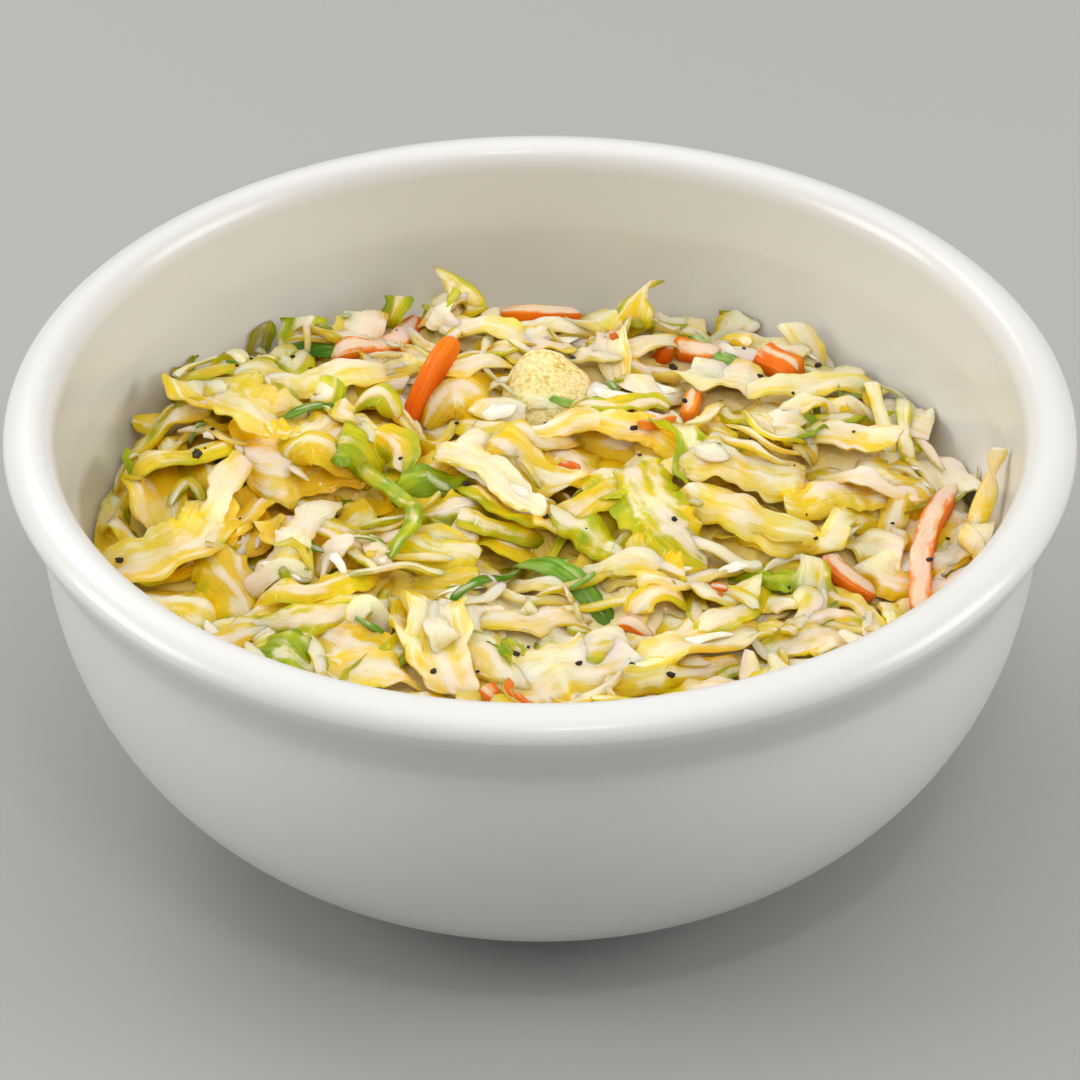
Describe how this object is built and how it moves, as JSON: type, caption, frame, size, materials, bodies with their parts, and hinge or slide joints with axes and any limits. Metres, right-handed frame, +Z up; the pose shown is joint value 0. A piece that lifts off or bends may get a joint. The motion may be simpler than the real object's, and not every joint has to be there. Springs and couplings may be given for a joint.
{
  "type": "bowl of coleslaw",
  "caption": "Round white porcelain side-dish bowl with a rolled lip and low foot ring, holding a mound of creamy shredded cabbage and carrot salad.",
  "frame": {"origin": "centre of the foot ring's underside, on the bowl's axis", "axes": "+Z up along the bowl's axis, +Y away from the side that is looked at, +X to that viewer's right"},
  "size_m": [0.14, 0.14, 0.0614],
  "materials": {
    "porcelain": "white glazed porcelain, glossy",
    "coleslaw": "moist shredded vegetables in a thin creamy dressing"
  },
  "bodies": {
    "root": {"bowl": "porcelain", "coleslaw": "coleslaw"}
  },
  "joints": []
}
